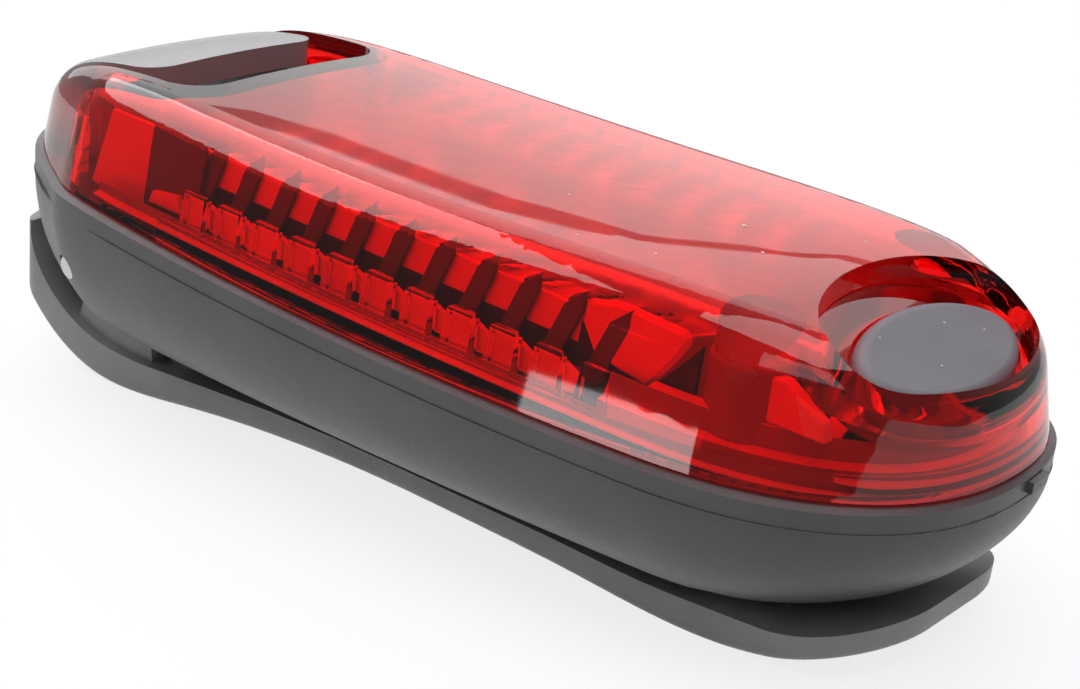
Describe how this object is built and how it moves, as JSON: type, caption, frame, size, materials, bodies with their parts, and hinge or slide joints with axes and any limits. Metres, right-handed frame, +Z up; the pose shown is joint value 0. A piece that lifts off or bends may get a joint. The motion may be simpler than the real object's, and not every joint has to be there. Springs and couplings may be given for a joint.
{
  "type": "clip-on bicycle light",
  "caption": "Long rounded clip-on light: red ribbed lens cover with a lanyard notch over a dark base, oval push button, and a sprung clip lever underneath.",
  "frame": {"origin": "middle of the footprint, on the table that the clip rests on", "axes": "+X along the body towards the push button, +Y across it, +Z up out of the lens"},
  "size_m": [0.0776, 0.03, 0.0235],
  "materials": {
    "red_clear_plastic": "clear red moulded plastic, glossy, with fine scratches",
    "dark_plastic": "dark grey moulded plastic with a fine satin texture",
    "button_rubber": "soft dark grey rubber, matt",
    "board": "green lacquered circuit board",
    "bright_plating": "bright plated plastic",
    "black_plastic": "black moulded plastic",
    "steel": "bright steel, finely ground",
    "lamp_resin": "clear pale red lamp resin"
  },
  "bodies": {
    "housing": {"base_housing": "dark_plastic", "lens_cover": "red_clear_plastic", "seal_gasket": "button_rubber", "circuit_board": "board", "reflector": "bright_plating", "driver_chip": "black_plastic", "chip_resistors": "black_plastic", "switch_body": "black_plastic", "battery_tray": "black_plastic", "coin_cell_1": "steel", "coin_cell_2": "steel", "cell_link_plate": "steel", "contact_spring_positive": "steel", "contact_spring_negative": "steel", "case_screws": "steel", "hinge_pin": "steel", "torsion_spring": "steel", "led_1": "lamp_resin", "led_2": "lamp_resin", "led_3": "lamp_resin", "led_4": "lamp_resin", "led_5": "lamp_resin"},
    "clip": {"clip_lever": "dark_plastic"},
    "button": {"push_button": "button_rubber"},
    "plunger": {"switch_plunger": "black_plastic"}
  },
  "joints": [
    {"name": "clip_hinge", "type": "hinge", "parent": "housing", "child": "clip", "pos_m": [-0.02637, 0, 0.00987], "axis": [0, 1, 0], "range_deg": [0, 10], "stiffness_Nm_per_rad": 0.2, "springref_deg": -22.92, "deforming": ["torsion_spring"]},
    {"name": "button_press", "type": "slide", "parent": "housing", "child": "button", "axis": [-0.0709, 0, -0.9975], "range_m": [0, 0.0004], "stiffness_N_per_m": 100, "springref_m": -0.005},
    {"name": "plunger_press", "type": "slide", "parent": "housing", "child": "plunger", "axis": [-0.0709, 0, -0.9975], "range_m": [0, 0.0004]}
  ],
  "couplings": [
    {"joint": "plunger_press", "follows": "button_press", "ratio": 1}
  ]
}
